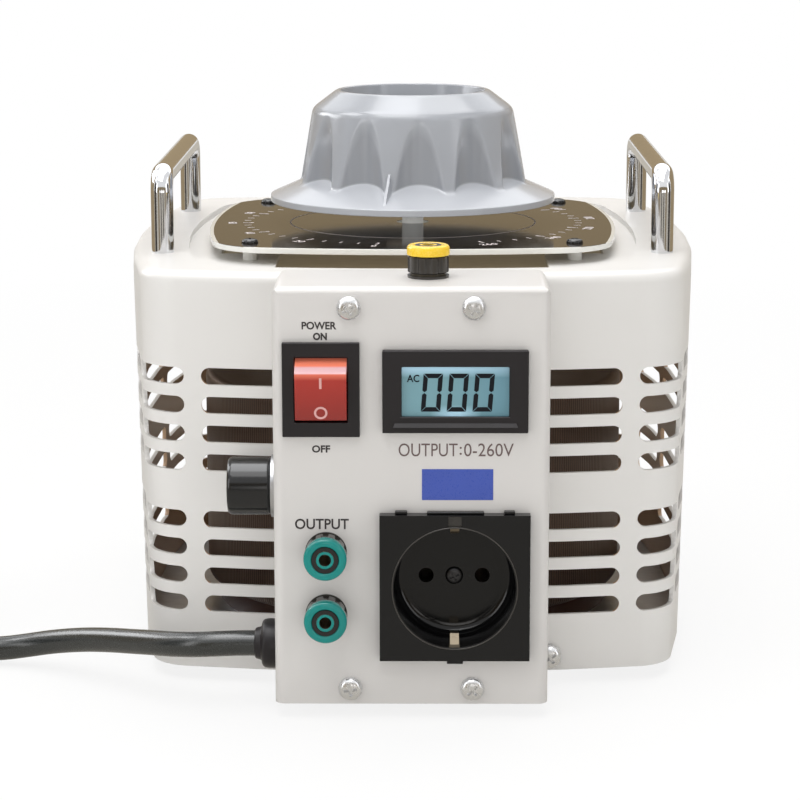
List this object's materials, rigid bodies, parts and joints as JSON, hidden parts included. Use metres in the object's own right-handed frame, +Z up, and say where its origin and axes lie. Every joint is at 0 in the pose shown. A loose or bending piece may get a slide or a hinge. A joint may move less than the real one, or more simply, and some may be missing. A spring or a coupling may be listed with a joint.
{
  "type": "variable autotransformer",
  "caption": "Bench variable autotransformer in a slotted metal housing with a fluted dial knob, carrying handles and a front control box with switch, meter, outlet and posts.",
  "frame": {"origin": "on the table, midway between the front ends of the output posts and the back wall, in line with the dial's axis across", "axes": "+Z up along the dial's axis, +Y to the back, +X to the right seen from the front"},
  "size_m": [0.4027, 0.268, 0.1997],
  "materials": {
    "case_paint": "satin",
    "panel_paint": "satin",
    "plated_steel": "satin",
    "chrome_bar": "polished",
    "black_rubber": "matte",
    "brown_board": "satin",
    "dial_face": "gloss",
    "white_plastic": "matte",
    "black_plastic": "satin",
    "red_plastic": "gloss",
    "brass_metal": "satin",
    "display_panel": "gloss",
    "teal_plastic": "satin",
    "yellow_plastic": "satin",
    "fuse_glass": "clear",
    "cord_pvc": "matte",
    "core_steel": "dark",
    "copper_wire": "enamelled",
    "bakelite": "matte",
    "carbon": "matte",
    "grey_plastic": "satin",
    "wire_sheath": "matte"
  },
  "bodies": {
    "frame": {"base_plate": "plated_steel", "housing_shell": "case_paint", "top_cover": "case_paint", "control_box": "panel_paint", "panel_standoffs": "plated_steel", "panel_screws": "plated_steel", "base_screws": "plated_steel", "rubber_feet": "black_rubber", "handle_left": "chrome_bar", "handle_right": "chrome_bar", "handle_screws": "plated_steel", "guard_board": "brown_board", "dial_plate": "dial_face", "dial_spacers": "white_plastic", "dial_screws": "black_plastic", "switch_body": "black_plastic", "switch_terminals": "brass_metal", "meter_case": "black_plastic", "meter_display": "display_panel", "socket_cover": "black_plastic", "socket_base": "black_plastic", "socket_contacts": "brass_metal", "socket_earth_clips": "brass_metal", "socket_screw": "plated_steel", "post_bushes": "black_plastic", "post_studs": "brass_metal", "panel_nuts": "plated_steel", "fuse_holder": "black_plastic", "cord_gland": "black_plastic", "cord_run": "cord_pvc", "cord_coil": "cord_pvc", "cord_tie": "black_plastic", "plug_body": "black_plastic", "plug_pins": "plated_steel", "core": "core_steel", "winding": "copper_wire", "winding_base": "bakelite", "bearing_tube": "plated_steel", "core_clamp": "bakelite", "shaft_bushes": "brass_metal", "collector_arm": "brass_metal", "wiring": "wire_sheath"},
    "rotor": {"knob": "grey_plastic", "knob_set_screw": "plated_steel", "shaft": "plated_steel", "brush_arm": "plated_steel", "brush": "carbon", "slip_ring": "brass_metal"},
    "rocker": {"rocker": "red_plastic"},
    "upper_clamp": {"upper_post_washer": "brass_metal"},
    "upper_cap": {"upper_post_cap": "black_plastic", "upper_post_ring": "teal_plastic"},
    "lower_clamp": {"lower_post_washer": "brass_metal"},
    "lower_cap": {"lower_post_cap": "black_plastic", "lower_post_ring": "teal_plastic"},
    "earth_clamp": {"earth_post_washer": "brass_metal"},
    "earth_cap": {"earth_post_cap": "black_plastic", "earth_post_ring": "yellow_plastic"},
    "fuse_carrier": {"fuse_link": "fuse_glass"},
    "fuse_top": {"fuse_cap": "black_plastic"}
  },
  "joints": [
    {"name": "knob_turn", "type": "hinge", "parent": "frame", "child": "rotor", "pos_m": [0, 0.0185, 0.12], "axis": [0, 0, -1], "range_deg": [0, 325]},
    {"name": "rocker_tilt", "type": "hinge", "parent": "frame", "child": "rocker", "pos_m": [-0.0297, -0.119, 0.1129], "axis": [-1, 0, 0], "range_deg": [0, 24]},
    {"name": "upper_clamp_lift", "type": "slide", "parent": "frame", "child": "upper_clamp", "axis": [0, -1, 0], "range_m": [0, 0.004]},
    {"name": "upper_cap_turn", "type": "hinge", "parent": "upper_clamp", "child": "upper_cap", "pos_m": [-0.0284, -0.123, 0.0576], "axis": [0, -1, 0], "range_deg": [0, 1441]},
    {"name": "lower_clamp_lift", "type": "slide", "parent": "frame", "child": "lower_clamp", "axis": [0, -1, 0], "range_m": [0, 0.004]},
    {"name": "lower_cap_turn", "type": "hinge", "parent": "lower_clamp", "child": "lower_cap", "pos_m": [-0.0284, -0.123, 0.0362], "axis": [0, -1, 0], "range_deg": [0, 1441]},
    {"name": "earth_clamp_lift", "type": "slide", "parent": "frame", "child": "earth_clamp", "axis": [0, 0, 1], "range_m": [0, 0.004]},
    {"name": "earth_cap_turn", "type": "hinge", "parent": "earth_clamp", "child": "earth_cap", "pos_m": [0.0056, -0.1005, 0.1468], "axis": [0, 0, 1], "range_deg": [0, 1441]},
    {"name": "fuse_pull", "type": "slide", "parent": "frame", "child": "fuse_carrier", "axis": [-1, 0, 0], "range_m": [0, 0.03]},
    {"name": "fuse_cap_turn", "type": "hinge", "parent": "fuse_carrier", "child": "fuse_top", "pos_m": [-0.04585, -0.1045, 0.076], "axis": [-1, 0, 0], "range_deg": [0, 60]}
  ],
  "couplings": [
    {"joint": "upper_cap_turn", "follows": "upper_clamp_lift", "rad_per_m": 6283.2},
    {"joint": "lower_cap_turn", "follows": "lower_clamp_lift", "rad_per_m": 6283.2},
    {"joint": "earth_cap_turn", "follows": "earth_clamp_lift", "rad_per_m": 6283.2}
  ]
}
